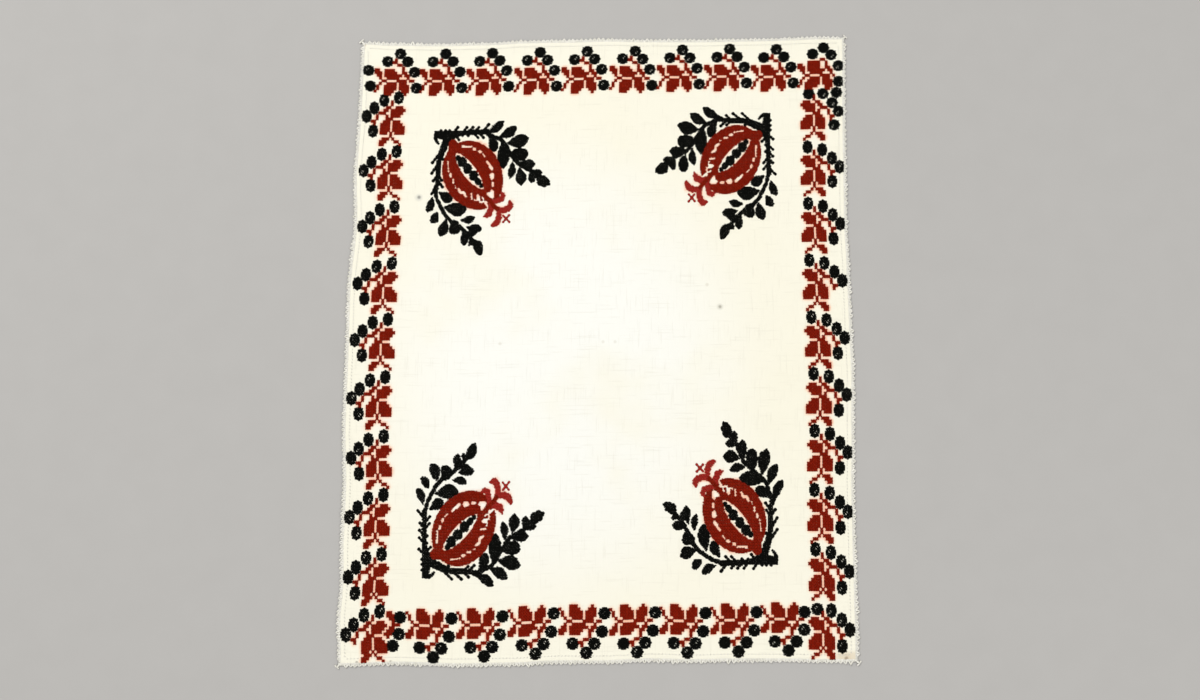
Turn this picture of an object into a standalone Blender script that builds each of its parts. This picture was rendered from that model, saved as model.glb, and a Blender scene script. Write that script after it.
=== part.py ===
"""A linen kerchief, lying flat: the hemmed cloth, and the picot edging worked onto its four sides.

Metres, +Z up. The underside lies on z = 0, +Y runs along the longer sides, and the origin is at the middle of
the underside's box.
"""

import math
import random

import bmesh
import bpy
from mathutils import Matrix, Vector

# Corners of the hemmed cloth. Hand weaving has left it a little out of square.
CORNERS = {
    "top_left": Vector((-0.1909, 0.2427)),
    "top_right": Vector((0.1967, 0.2470)),
    "bottom_right": Vector((0.1921, -0.2440)),
    "bottom_left": Vector((-0.1950, -0.2470)),
}

# Thickness of the plain cloth, and of its folded and sewn hem.
CLOTH_THICKNESS = 0.0012
HEM_THICKNESS = 0.0016
HEM_WIDTH = 0.0042
HEM_SLOPE = 0.0008

# Each side runs from its first corner to its second, with the outside of the cloth on its right hand.
# Columns: side, first corner, second corner, distance from one picot to the next.
SIDES = (
    ("top", "top_right", "top_left", 0.0035),
    ("left", "top_left", "bottom_left", 0.0032),
    ("bottom", "bottom_left", "bottom_right", 0.0035),
    ("right", "bottom_right", "top_right", 0.0038),
)

# How far each side bows out of its straight line.
# Columns: share of the way along the side, distance outwards.
WAVES = {
    "top": (
        (0.05, 0.0002),
        (0.18, -0.0009),
        (0.30, -0.0012),
        (0.42, -0.0007),
        (0.49, 0.0003),
        (0.56, -0.0002),
        (0.67, -0.0005),
        (0.74, -0.0019),
        (0.84, -0.0023),
        (0.94, -0.0015),
    ),
    "left": (
        (0.11, 0.0004),
        (0.23, 0.0023),
        (0.30, 0.0006),
        (0.42, 0.0039),
        (0.53, 0.0034),
        (0.62, 0.0035),
        (0.74, 0.0011),
        (0.81, 0.0013),
        (0.88, 0.0003),
        (0.93, 0.0016),
    ),
    "bottom": (
        (0.10, -0.0010),
        (0.24, 0.0007),
        (0.34, 0.0003),
        (0.42, -0.0010),
        (0.51, -0.0007),
        (0.60, -0.0019),
        (0.69, -0.0009),
        (0.76, -0.0014),
        (0.87, -0.0010),
        (0.94, -0.0002),
    ),
    "right": (
        (0.02, 0.0002),
        (0.25, -0.0004),
        (0.35, 0.0007),
        (0.44, 0.0016),
        (0.52, 0.0007),
        (0.62, -0.0003),
        (0.68, -0.0014),
        (0.80, -0.0012),
        (0.91, -0.0009),
        (0.97, -0.0002),
    ),
}
OUTLINE_STEPS = 40  # straight stretches that follow one bowed side of the cloth

# The edging: a worked root along the hem, and pointed picots of uneven height on it.
GAP = 0.0003
EDGING_THICKNESS = 0.0011
ROOT_WIDTH = 0.0012
PICOT_HEIGHT = 0.0017
PICOT_SPREAD = 0.0005
LONG_PICOT_SHARE = 0.10
LONG_PICOT_EXTRA = 0.0008
PICOT_TIP_WIDTH = 0.0007
PICOT_LEAN = 0.12
SEED = 41

LINEN_COLOR = (0.90, 0.87, 0.78, 1.0)
THREAD_COLOR = (0.93, 0.91, 0.84, 1.0)


def clear_scene():
    for item in list(bpy.data.objects):
        bpy.data.objects.remove(item, do_unlink=True)


def material(name, color, roughness):
    made = bpy.data.materials.new(name)
    made.use_nodes = True
    shader = made.node_tree.nodes["Principled BSDF"]
    shader.inputs["Base Color"].default_value = color
    shader.inputs["Roughness"].default_value = roughness
    shader.inputs["Metallic"].default_value = 0.0
    made.diffuse_color = color
    return made


def wave(side, share):
    """Distance outwards of a side's bow, eased from one row of its table to the next."""
    rows = ((0.0, 0.0), *WAVES[side], (1.0, 0.0))
    for (start, low), (end, high) in zip(rows, rows[1:]):
        if share <= end:
            part = (share - start) / (end - start)
            return low + (high - low) * (0.5 - 0.5 * math.cos(math.pi * part))
    return 0.0


def side_point(side, first, second, along, outwards):
    """The point at a distance along a side of the cloth, and at a distance outwards of its bowed edge."""
    start, end = CORNERS[first], CORNERS[second]
    run = end - start
    direction = run.normalized()
    normal = Vector((direction.y, -direction.x))
    bow = wave(side, min(max(along / run.length, 0.0), 1.0))
    return start + direction * along + normal * (bow + outwards)


def side_length(first, second):
    return (CORNERS[second] - CORNERS[first]).length


def to_object(name, mesh_builder, finish):
    """Turns a built mesh into a named object with its faces pointing out."""
    bmesh.ops.recalc_face_normals(mesh_builder, faces=mesh_builder.faces)
    mesh = bpy.data.meshes.new(name)
    mesh_builder.to_mesh(mesh)
    mesh_builder.free()
    mesh.materials.append(finish)
    made = bpy.data.objects.new(name, mesh)
    bpy.context.scene.collection.objects.link(made)
    return made


def raise_faces(builder, faces, height):
    """Extrudes flat faces straight up, and gives back the new upper faces."""
    extruded = bmesh.ops.extrude_face_region(builder, geom=faces)
    above = [item for item in extruded["geom"] if isinstance(item, bmesh.types.BMVert)]
    bmesh.ops.translate(builder, verts=above, vec=(0.0, 0.0, height))
    return [item for item in extruded["geom"] if isinstance(item, bmesh.types.BMFace)]


def build_cloth(finish):
    """The woven sheet in one piece, thicker along its rim where the hem is folded over."""
    builder = bmesh.new()
    outline = []
    for side, first, second, _pitch in SIDES:
        length = side_length(first, second)
        for step in range(OUTLINE_STEPS):
            point = side_point(side, first, second, length * step / OUTLINE_STEPS, 0.0)
            outline.append(builder.verts.new((point.x, point.y, 0.0)))
    sheet = builder.faces.new(outline)
    top = raise_faces(builder, [sheet], HEM_THICKNESS)
    bmesh.ops.inset_region(builder, faces=top, thickness=HEM_WIDTH - HEM_SLOPE, use_even_offset=True)
    bmesh.ops.inset_region(
        builder,
        faces=top,
        thickness=HEM_SLOPE,
        depth=CLOTH_THICKNESS - HEM_THICKNESS,
        use_even_offset=True,
    )
    return to_object("linen_ground", builder, finish)


def picot_heights(count, rng):
    """One height for each picot, uneven as hand work is, with a longer one here and there."""
    heights = []
    for _ in range(count):
        height = PICOT_HEIGHT + rng.uniform(-PICOT_SPREAD, PICOT_SPREAD)
        if rng.random() < LONG_PICOT_SHARE:
            height += LONG_PICOT_EXTRA
        heights.append(height)
    return heights


def picot_middle(index, count, start, step, length, reach, rng):
    """Where along its side a picot stands. The first and last lean out to the corners, along the mitres."""
    if index == 0:
        return -reach
    if index == count - 1:
        return length + reach
    return start + step * (index + 0.5 + rng.uniform(-PICOT_LEAN, PICOT_LEAN))


def build_edging(side, first, second, pitch, finish, rng):
    """The edging of one side: a thin strip with a saw-toothed outer rim, mitred at both ends."""
    length = side_length(first, second)
    root = GAP + ROOT_WIDTH
    start, end = GAP - root, length + root - GAP
    count = round((end - start) / pitch)
    step = (end - start) / count
    builder = bmesh.new()

    def vertex(along, outwards):
        point = side_point(side, first, second, along, outwards)
        return builder.verts.new((point.x, point.y, 0.0))

    valleys = [vertex(start + step * index, root) for index in range(count + 1)]
    inner = [vertex(min(max(start + step * index, 0.0), length), GAP) for index in range(count + 1)]
    for index, height in enumerate(picot_heights(count, rng)):
        reach = root + height - GAP - PICOT_TIP_WIDTH / 2
        middle = picot_middle(index, count, start, step, length, reach, rng)
        before = vertex(middle - PICOT_TIP_WIDTH / 2, root + height)
        after = vertex(middle + PICOT_TIP_WIDTH / 2, root + height)
        builder.faces.new(
            (inner[index], inner[index + 1], valleys[index + 1], after, before, valleys[index])
        )
    raise_faces(builder, list(builder.faces), EDGING_THICKNESS)
    return to_object(f"picot_edging_{side}", builder, finish)


def centre_on_origin(made):
    """Slides all the solids together, so that the origin is at the middle of the box they fill."""
    places = [vertex.co for item in made for vertex in item.data.vertices]
    middle_x = (min(place.x for place in places) + max(place.x for place in places)) / 2
    middle_y = (min(place.y for place in places) + max(place.y for place in places)) / 2
    for item in made:
        item.data.transform(Matrix.Translation((-middle_x, -middle_y, 0.0)))


def main():
    clear_scene()
    linen = material("linen", LINEN_COLOR, 0.9)
    thread = material("edging_thread", THREAD_COLOR, 0.85)
    rng = random.Random(SEED)
    made = [build_cloth(linen)]
    for side, first, second, pitch in SIDES:
        made.append(build_edging(side, first, second, pitch, thread, rng))
    centre_on_origin(made)


main()
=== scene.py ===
# %% [markdown]
# # An embroidered linen handkerchief, laid flat
#
# Hand-woven linen with a narrow hem, a picot edging of crochet thread, and cross-stitch in brick red and black:
# a grapevine runs round the border, and a pomegranate with two sprays of leaves stands in each corner.
# Each code cell makes or measures one thing. Lengths are in metres unless a name or comment says millimetres.

import math
import random

import bmesh
import bpy
import numpy as np
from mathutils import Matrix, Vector


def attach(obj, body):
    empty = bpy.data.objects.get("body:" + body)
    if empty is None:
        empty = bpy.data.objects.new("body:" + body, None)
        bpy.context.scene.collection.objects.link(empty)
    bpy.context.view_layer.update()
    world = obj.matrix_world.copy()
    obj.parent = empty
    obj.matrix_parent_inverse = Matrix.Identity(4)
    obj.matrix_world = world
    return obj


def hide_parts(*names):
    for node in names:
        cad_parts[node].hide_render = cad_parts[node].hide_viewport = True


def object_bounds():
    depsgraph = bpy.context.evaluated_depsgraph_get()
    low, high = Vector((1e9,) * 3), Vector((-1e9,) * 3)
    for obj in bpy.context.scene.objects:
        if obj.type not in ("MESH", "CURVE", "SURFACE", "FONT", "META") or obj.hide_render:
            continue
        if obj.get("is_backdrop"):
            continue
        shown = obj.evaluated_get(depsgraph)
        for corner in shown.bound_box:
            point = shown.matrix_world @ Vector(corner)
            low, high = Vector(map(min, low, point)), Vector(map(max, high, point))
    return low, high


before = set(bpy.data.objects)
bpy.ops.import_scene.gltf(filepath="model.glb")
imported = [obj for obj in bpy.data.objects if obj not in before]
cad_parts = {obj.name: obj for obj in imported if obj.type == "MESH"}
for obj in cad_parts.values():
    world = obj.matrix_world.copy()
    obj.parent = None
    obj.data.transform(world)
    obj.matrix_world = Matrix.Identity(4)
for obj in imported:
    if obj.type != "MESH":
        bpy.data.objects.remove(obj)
CAD_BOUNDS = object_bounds()
MM = 0.001
print("solids:", ", ".join(sorted(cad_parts)))

# %% [markdown]
# ## The view
#
# The cloth lies on a level surface and is seen almost from straight above. The camera comes first, so that every
# later step can be judged in the same picture. It leans back by nine degrees and looks at the cloth's middle.

# %% Camera
AIM = Vector((0.00023, -0.00822, 0.0))
CAMERA_PLACE = Vector((0.00023, -0.16638, 0.98741))

camera_data = bpy.data.cameras.new("camera")
camera_data.lens = 38.4
camera_data.sensor_width = 36.0
camera = bpy.data.objects.new("camera", camera_data)
camera.location = CAMERA_PLACE
camera.rotation_euler = (AIM - CAMERA_PLACE).to_track_quat("-Z", "Y").to_euler()
bpy.context.scene.collection.objects.link(camera)
bpy.context.scene.camera = camera
print("camera looks down at", round(math.degrees((CAMERA_PLACE - AIM).angle(Vector((0, 0, 1)))), 1), "degrees off plumb")

# %% [markdown]
# ## Places on the cloth
#
# A stitcher counts threads, not millimetres on a ruler, and the weave bends where the cloth's sides bow. So every
# place is given along the threads: s from the left side and t from the bottom side, in millimetres. The sides
# are read from the solid, and a place between them is blended from all four.

# %% Read the four sides of the cloth
CLOTH_WIDTH_MM = 387.4
CLOTH_HEIGHT_MM = 490.4


def underside_points(node):
    """The corner points on the underside of a solid."""
    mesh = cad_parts[node].data
    places = np.empty(len(mesh.vertices) * 3, np.float32)
    mesh.vertices.foreach_get("co", places)
    places = places.reshape(-1, 3)
    low = places[places[:, 2] < 1e-5, :2].astype(float)
    return np.unique(np.round(low, 6), axis=0)


ring = underside_points("linen_ground")
ring = ring[np.argsort(np.arctan2(ring[:, 1], ring[:, 0]))]
CORNERS = {
    (right, upper): int(np.argmax(ring @ np.array((1.25 * right, upper))))
    for right in (-1, 1)
    for upper in (-1, 1)
}


def side_between(first, second):
    """The points of one side, going round the cloth against the clock."""
    start, end = CORNERS[first], CORNERS[second]
    if end <= start:
        end += len(ring)
    return ring[np.arange(start, end + 1) % len(ring)]


SIDES = {
    "bottom": side_between((-1, -1), (1, -1)),
    "right": side_between((1, -1), (1, 1)),
    "top": side_between((1, 1), (-1, 1))[::-1],
    "left": side_between((-1, 1), (-1, -1))[::-1],
}
print("points on each side:", {side: len(points) for side, points in SIDES.items()})


# %% Turn a count along the threads into a place
def along_side(side, share):
    """The point at a share of a side's length, from its left or lower end."""
    points = SIDES[side]
    steps = np.linalg.norm(np.diff(points, axis=0), axis=1)
    shares = np.concatenate(((0.0,), np.cumsum(steps))) / steps.sum()
    return np.stack([np.interp(share, shares, points[:, axis]) for axis in (0, 1)], -1)


def on_cloth(s, t):
    """Where places on the cloth lie, as an array of x and y."""
    across = np.asarray(s, float) / CLOTH_WIDTH_MM
    up = np.asarray(t, float) / CLOTH_HEIGHT_MM
    u, v = across[..., None], up[..., None]
    bottom, top = along_side("bottom", across), along_side("top", across)
    left, right = along_side("left", up), along_side("right", up)
    lower = (1 - u) * SIDES["bottom"][0] + u * SIDES["bottom"][-1]
    upper = (1 - u) * SIDES["top"][0] + u * SIDES["top"][-1]
    return (1 - v) * bottom + v * top + (1 - u) * left + u * right - (1 - v) * lower - v * upper


print("middle of the cloth:", on_cloth(CLOTH_WIDTH_MM / 2, CLOTH_HEIGHT_MM / 2).round(4))

# %% [markdown]
# ## The surface of the cloth
#
# Linen laid by hand never lies quite level. A few long, shallow waves stand for that, less than half a
# millimetre high. The hem is folded double, so it is thicker than the field, with a rounded outer edge.

# %% Height of the cloth at any place
FIELD_MM = 1.2
HEM_PROFILE_MM = ((0.0, 1.25), (0.35, 1.48), (0.8, 1.57), (2.0, 1.57), (3.2, 1.47), (4.4, 1.31), (6.2, FIELD_MM))
WAVES = ((21.0, 47.0, 0.4, 0.10), (-63.0, 31.0, 2.1, 0.08), (95.0, 58.0, 4.0, 0.05), (38.0, -122.0, 1.2, 0.05))


def wave_height(places):
    """How far the long waves lift or lower the surface."""
    height = np.zeros(places.shape[:-1])
    for along_x, along_y, start, size in WAVES:
        height += size * MM * np.sin(along_x * places[..., 0] + along_y * places[..., 1] + start)
    return height


def from_edge(s, t):
    """Distance from the nearest edge of the cloth, in millimetres."""
    return np.minimum(np.minimum(s, CLOTH_WIDTH_MM - s), np.minimum(t, CLOTH_HEIGHT_MM - t))


def top_height(s, t):
    """Height of the upper surface over the floor."""
    edge = from_edge(s, t)
    distances, heights = zip(*HEM_PROFILE_MM)
    calm = np.clip((edge - 1.0) / 8.0, 0.0, 1.0)
    return np.interp(edge, distances, heights) * MM + calm * wave_height(on_cloth(s, t))


print("field's height:", round(float(top_height(np.array(200.0), np.array(250.0))) / MM, 2), "mm")

# %% [markdown]
# ## Charting the grapevine
#
# Counted embroidery follows a chart: one square, one cross. The vine repeats every nineteen squares, so one
# motif is charted, as rows of red with their first and last column, and then worked again and again. The count
# starts from the square where the leaf's veins meet. The grapes are round, so only their middles are charted, and
# their outer legs are shortened to fit a circle. Many have one square near the middle left open, like a highlight.

# %% The vine motif
VINE_STEMS = ((8, -1, -1), (7, -2, -1), (6, 0, 1), (5, 2, 2), (4, 2, 2), (3, 2, 3), (2, 3, 4), (1, 4, 4), (0, 5, 6))
VINE_LOBES = (
    (4, -5, -2), (3, -5, -1), (2, -5, 1), (1, -4, 0), (0, 0, 3), (0, -5, -5),
    (-1, -4, -1), (-2, -5, -1), (-3, -5, -1), (-4, -5, -2), (-5, -5, -3),
    (-1, 1, 3), (-2, 1, 4), (-3, 1, 4), (-4, 2, 4), (-5, 3, 3),
)
VINE_LEAF = ((4, -9, -8), (3, -9, -7), (2, -8, -7), (1, -7, -7))
VINE_TENDRIL = ((-1, -7, -7), (-2, -8, -8), (-3, -8, -8), (-4, -9, -9))
VINE_JOIN = ((0, -6, -6),)
VINE_GRAPES = ((-4.4, 7.35), (0.6, 10.35), (3.6, 7.35), (6.5, 3.4), (7.5, -2.6))
GRAPE_HALF_SIZE = (2.2, 2.05)


def squares(rows, shift=0):
    """Every square of a chart that is given as rows of first and last column."""
    return [(column + shift, row) for row, first, last in rows for column in range(first, last + 1)]


print("squares in a motif:", len(squares(VINE_STEMS + VINE_LOBES + VINE_LEAF + VINE_TENDRIL + VINE_JOIN)))

# %% Where each motif starts, counted one by one
SQUARE_MM = {"top": (2.02, 2.25), "bottom": (2.04, 2.25), "left": (1.95, 2.40), "right": (1.95, 2.40)}
MOTIFS = {
    "top": (
        (28.3, 460.1), (64.9, 460.4), (102.7, 460.1), (141.4, 459.1), (179.5, 459.1),
        (218.4, 459.4), (256.6, 460.5), (294.8, 460.7), (332.6, 459.7), (370.2, 459.8),
    ),
    "bottom": (
        (68.5, 27.4), (106.8, 28.4), (145.4, 29.1), (183.6, 29.0),
        (221.9, 28.4), (259.7, 28.4), (298.1, 28.5), (335.8, 29.3),
    ),
    "left": (
        (24.6, 428.1), (25.5, 382.8), (24.8, 336.8), (25.7, 290.5), (25.0, 245.3),
        (24.2, 199.4), (24.4, 153.0), (24.0, 107.8), (24.0, 62.6), (24.5, 19.7),
    ),
    "right": (
        (364.3, 427.9), (364.0, 381.8), (363.8, 335.1), (363.2, 289.0), (363.2, 243.4),
        (363.3, 198.7), (364.1, 154.1), (364.0, 108.7), (363.9, 63.7), (363.1, 20.4),
    ),
}
TURNED = {
    "top": lambda x, y: (x, y),
    "bottom": lambda x, y: (x, -y),
    "left": lambda x, y: (-y, x),
    "right": lambda x, y: (y, x),
}
print("motifs:", sum(len(places) for places in MOTIFS.values()))

# %% [markdown]
# ## Where the vine meets the corners
#
# No count comes out even, and the stitcher made do at the corners: grapes on their own fill two gaps, the upper
# right motif has a taller lobe, and the lower left corner has a leaf of its own. These squares are charted apart.

# %% Corner fillers
TALL_MOTIF = (
    (6, 0, 1), (5, 2, 2), (4, 2, 2), (3, 2, 3), (2, 3, 4), (1, 4, 4), (0, 5, 5),
    (5, -5, -1), (4, -5, -1), (3, -5, -1), (2, -5, 1), (1, -4, 0), (0, 0, 3), (0, -6, -5),
    (-1, -4, -1), (-2, -5, -1), (-3, -6, -1), (-4, -6, -2), (-5, -6, -4),
    (-1, 1, 3), (-2, 1, 4), (-3, 1, 4), (-4, 2, 4), (-5, 2, 3),
)
LOWER_LEFT_LEAVES = (
    (4, -16, -15), (3, -16, -14), (2, -15, -14), (1, -14, -14), (0, -14, -12),
    (-1, -15, -14), (-2, -16, -14), (-3, -17, -15), (-4, -16, -16),
)
LOWER_LEFT_GRAPES = ((-11.5, 2.5), (-12.0, -3.0), (-14.35, -6.9))

# Middles of grapes that stand on their own, in millimetres.
LONE_GRAPES_MM = (
    (4.24, 468.27), (6.25, 455.11),
    (363.30, 477.90), (372.10, 483.20), (378.20, 477.20), (384.05, 467.80), (384.30, 454.50), (382.45, 445.20),
    (360.20, 444.20), (371.65, 444.25), (378.95, 436.60), (384.05, 429.40), (380.40, 418.10),
    (349.58, 34.72), (359.20, 37.12),
)
print("grapes on their own:", len(LONE_GRAPES_MM) + len(LOWER_LEFT_GRAPES))

# %% [markdown]
# ## Charting the pomegranate
#
# The fruit, its crown and the sprays have smooth outlines, which a stitcher gets by shortening the legs of the
# outer crosses. So they are charted by plain shapes, an oval, strokes and pointed leaves, and each leg later asks
# how far it is covered. Coordinates are squares from the fruit's middle. An arm runs along each axis of the chart
# and ends in a spray, a long one and a short one, and the crown points out between the two.

# %% The fruit and its crown
FRUIT_HALF_LENGTH = 13.0
FRUIT_HALF_WIDTH = 10.7
SLIT = ((-7.0, -7.7), (4.3, 4.9), 2.45, 0.6)
SEEDS = (
    ((-6.1, -6.0), 0.9), ((-4.2, -4.6), 1.75), ((-2.0, -2.2), 1.75),
    ((0.5, 0.2), 1.75), ((2.2, 2.3), 1.2), ((3.5, 3.6), 0.75),
)

# Stretches where the linen shows, in the two seams of the rind and beside the crown: from, to, half width.
BARE = (
    ((-4.7, -10.0), (-0.9, -9.95), 0.33), ((-0.1, -9.2), (0.4, -8.9), 0.58), ((2.0, -8.3), (2.8, -8.0), 0.48),
    ((3.7, -7.3), (4.4, -6.3), 0.30), ((5.5, -4.6), (7.5, -2.0), 0.58), ((7.6, 0.2), (7.7, 0.9), 0.93),
    ((7.9, 2.8), (7.9, 3.8), 0.53),
    ((-10.0, -4.8), (-9.4, -1.2), 0.30), ((-8.7, -0.4), (-8.5, 0.2), 0.53), ((-7.6, 1.6), (-7.5, 2.7), 0.48),
    ((-6.8, 3.6), (-6.5, 4.3), 0.30), ((-5.4, 4.8), (-4.6, 6.0), 0.53), ((-3.6, 5.9), (-2.6, 7.2), 0.53),
    ((-0.4, 6.4), (-0.3, 8.2), 0.43), ((0.7, 8.5), (1.2, 8.7), 0.38), ((2.2, 7.3), (2.4, 8.4), 0.73),
    ((3.9, 7.6), (4.3, 8.7), 0.33), ((2.7, 9.4), (5.4, 9.2), 0.38),
    ((7.6, 5.9), (7.6, 7.6), 0.75), ((6.2, 6.5), (7.4, 7.6), 0.6), ((4.9, 9.4), (6.0, 11.2), 0.55),
)
NECK = (((4.4, 6.95), 0.7), ((6.5, 9.0), 0.75), ((8.5, 11.1), 0.75), ((9.5, 11.9), 0.8))
TAIL = (((-7.3, -8.6), 2.8), ((-8.5, -11.2), 1.5))
PETALS = (
    (((7.1, 9.2), 0.6), ((9.3, 9.15), 0.75), ((11.0, 8.7), 0.9), ((11.9, 7.8), 0.85), ((11.9, 7.0), 0.7), ((11.3, 6.4), 0.3)),
    (((7.0, 10.2), 0.7), ((7.0, 11.9), 0.95), ((6.4, 13.2), 1.1), ((5.4, 13.9), 0.8), ((4.3, 14.3), 0.25)),
    (((9.5, 11.9), 0.7), ((11.8, 12.5), 0.95), ((13.8, 12.0), 1.0), ((14.8, 10.9), 0.95), ((14.5, 9.7), 0.4)),
    (((10.1, 13.2), 0.8), ((10.2, 15.0), 1.0), ((9.3, 16.6), 1.1), ((8.3, 17.2), 0.8), ((7.3, 17.4), 0.3)),
)
BUD = (
    ((13.0, 15.4), (11.6, 14.1)), ((13.0, 15.4), (14.5, 14.0)),
    ((13.0, 15.4), (11.6, 16.8)), ((13.0, 15.4), (14.6, 16.9)),
)
print("bare stretches in the rind:", len(BARE))

# %% The arms, their ticks and the two sprays
ARMS = (
    (
        ((-14.5, -14.2), 1.3), ((-12.0, -13.9), 1.5), ((-9.0, -13.9), 1.6), ((-7.0, -14.4), 1.1),
        ((-5.0, -14.8), 0.85), ((5.0, -15.0), 0.85),
    ),
    (
        ((-10.9, -12.6), 1.3), ((-11.8, -9.8), 1.35), ((-12.8, -7.4), 1.15), ((-13.4, -4.8), 0.95),
        ((-13.5, -2.5), 0.85), ((-13.5, 0.7), 0.8), ((-14.0, 3.5), 0.8), ((-14.4, 5.8), 1.0),
    ),
    (((-15.3, -15.0), 0.6), ((-15.5, -13.5), 0.6), ((-15.1, -12.2), 0.6), ((-14.3, -11.3), 0.55)),
)
TICKS = (
    ((-7.9, -15.4), (-6.5, -17.1)), ((-4.4, -15.3), (-2.9, -17.0)), ((-2.0, -15.3), (-0.5, -17.0)),
    ((0.3, -15.4), (1.8, -16.9)), ((3.6, -15.5), (5.7, -17.9)),
    ((-7.2, -13.6), (-5.8, -11.9)), ((-5.2, -14.2), (-4.5, -13.4)), ((-3.2, -14.4), (-2.2, -13.3)),
    ((-0.3, -14.5), (1.75, -12.6)), ((2.0, -14.4), (3.9, -12.55)),
    ((-13.7, -15.2), (-13.1, -16.0)), ((-11.9, -15.2), (-11.3, -16.0)), ((-10.3, -15.2), (-9.7, -16.0)),
    ((-13.8, -7.1), (-16.3, -4.0)), ((-14.0, -3.6), (-16.3, -0.3)), ((-14.0, 0.3), (-15.7, 2.3)),
    ((-14.6, 4.3), (-16.2, 6.8)), ((-12.7, -7.1), (-11.6, -5.1)), ((-13.2, 0.25), (-11.7, 2.1)),
    ((-13.5, 1.8), (-11.4, 4.4)),
)
STEM_HALF_WIDTH = 0.7
LEAF_FILLING = 0.35  # how much wider the plump thread makes each leaf
LEAF_BOW = 0.55  # squares by which a leaf bulges towards the end of its spray
LEAF_SKEW = 1.15  # above 1, a leaf is widest beyond its middle

# A spray is its stem, then its leaves as base, tip, half width and, where it is a rounded one, its fullness.
LONG_SPRAY = (
    (
        (5.0, -14.1), (8.0, -13.0), (10.3, -12.2), (12.0, -10.6), (14.1, -7.8),
        (15.8, -5.5), (17.9, -3.3), (20.9, -1.8), (23.9, -0.5), (25.6, 1.0),
    ),
    (
        ((4.8, -14.6), (11.5, -18.6), 1.25), ((9.6, -12.8), (16.8, -16.2), 1.45), ((12.8, -10.6), (21.9, -12.2), 1.9),
        ((15.2, -7.4), (21.7, -6.3), 1.85, 0.42), ((18.0, -3.6), (25.0, -3.0), 1.4), ((22.4, -0.7), (27.8, 0.0), 0.85),
        ((24.9, 0.2), (30.9, 4.4), 1.1), ((25.1, 1.0), (27.0, 4.6), 0.55), ((26.0, 4.0), (30.2, 4.3), 0.15), ((5.6, -13.3), (8.9, -7.9), 1.55),
        ((10.9, -11.4), (12.1, -1.8), 2.1), ((15.6, -4.4), (14.8, 1.8), 1.15), ((18.4, -2.2), (19.3, 4.3), 1.75),
        ((23.0, -1.4), (23.6, 3.5), 1.15),
    ),
)
SHORT_SPRAY = (
    (
        (5.8, -14.6), (8.5, -13.9), (11.5, -12.3), (13.6, -11.0), (16.2, -8.4),
        (18.0, -5.0), (20.1, -2.3), (22.1, -0.3), (23.3, 0.8),
    ),
    (
        ((7.2, -15.6), (13.0, -18.1), 1.1), ((12.4, -13.8), (16.6, -16.6), 1.2), ((15.0, -10.7), (21.3, -12.6), 1.7),
        ((15.5, -7.5), (20.5, -7.1), 1.75, 0.42), ((19.0, -3.8), (24.5, -2.8), 1.15), ((21.8, -0.66), (24.7, -0.66), 0.6),
        ((21.7, -0.3), (28.1, 4.2), 1.05), ((22.3, 0.4), (24.3, 4.1), 0.55), ((23.4, 3.6), (27.5, 4.0), 0.15), ((5.6, -13.3), (8.9, -7.9), 1.55),
        ((10.9, -11.4), (12.0, -2.3), 2.1), ((15.6, -5.0), (14.8, 0.8), 1.0), ((17.9, -2.7), (18.8, 3.5), 1.3),
        ((19.6, -2.2), (20.0, 1.9), 0.65),
    ),
)
print("leaves on the two sprays:", len(LONG_SPRAY[1]) + len(SHORT_SPRAY[1]))


# %% Ask which thread covers a place
BARE_LINEN, RED, BLACK, FADED = range(4)


def to_line(places, start, end):
    """Distance of each place from a straight stretch, and the share of the stretch that it lies beside."""
    run = np.subtract(end, start)
    away = places - np.array(start)
    share = np.clip(away @ run / (run @ run), 0.0, 1.0)
    return np.linalg.norm(away - share[..., None] * run, axis=-1), share


def in_pointed(places, start, end, half_width, fullness=0.5, skew=1.0, bow=(0.0, 0.0)):
    """True inside a leaf-like form that is pointed at both ends, and bowed by so much at its middle."""
    share = to_line(places, start, end)[1]
    distance, share = to_line(places - (4 * share * (1 - share))[..., None] * bow, start, end)
    share = share**skew
    return distance < half_width * (4 * share * (1 - share)) ** fullness


def in_stroke(places, path, more=0.0):
    """True inside a stroke that follows a path of places and half widths, or a little more around it."""
    inside = np.zeros(places.shape[:-1], bool)
    for (start, first), (end, last) in zip(path, path[1:]):
        distance, share = to_line(places, start, end)
        inside |= distance < first + (last - first) * share + more
    return inside


def in_spray(places, spray, reach):
    """True on the stem or a leaf of a spray that reaches further or less far from its foot."""
    stem, leaves = spray
    drawn = (places - (5.0, 0.0)) / (reach, 1.0) + (5.0, 0.0)
    inside = in_stroke(drawn, [(place, STEM_HALF_WIDTH) for place in stem])
    onwards = np.subtract(stem[-1], stem[0])
    bow = LEAF_BOW * onwards / np.linalg.norm(onwards)
    for base, tip, half_width, *fullness in leaves:
        inside |= in_pointed(drawn, base, tip, half_width + LEAF_FILLING, *(fullness or (1.0,)), LEAF_SKEW, bow)
    return inside


def in_fruit(places):
    """True inside the oval of the fruit, and true where its linen shows."""
    along = (places[..., 0] + places[..., 1]) / math.sqrt(2)
    across = (places[..., 0] - places[..., 1]) / math.sqrt(2)
    oval = (along / FRUIT_HALF_LENGTH) ** 2 + (across / FRUIT_HALF_WIDTH) ** 2 <= 1
    bare = in_pointed(places, *SLIT)
    for start, end, half_width in BARE:
        bare |= to_line(places, start, end)[0] < half_width
    return oval, oval & bare


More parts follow.
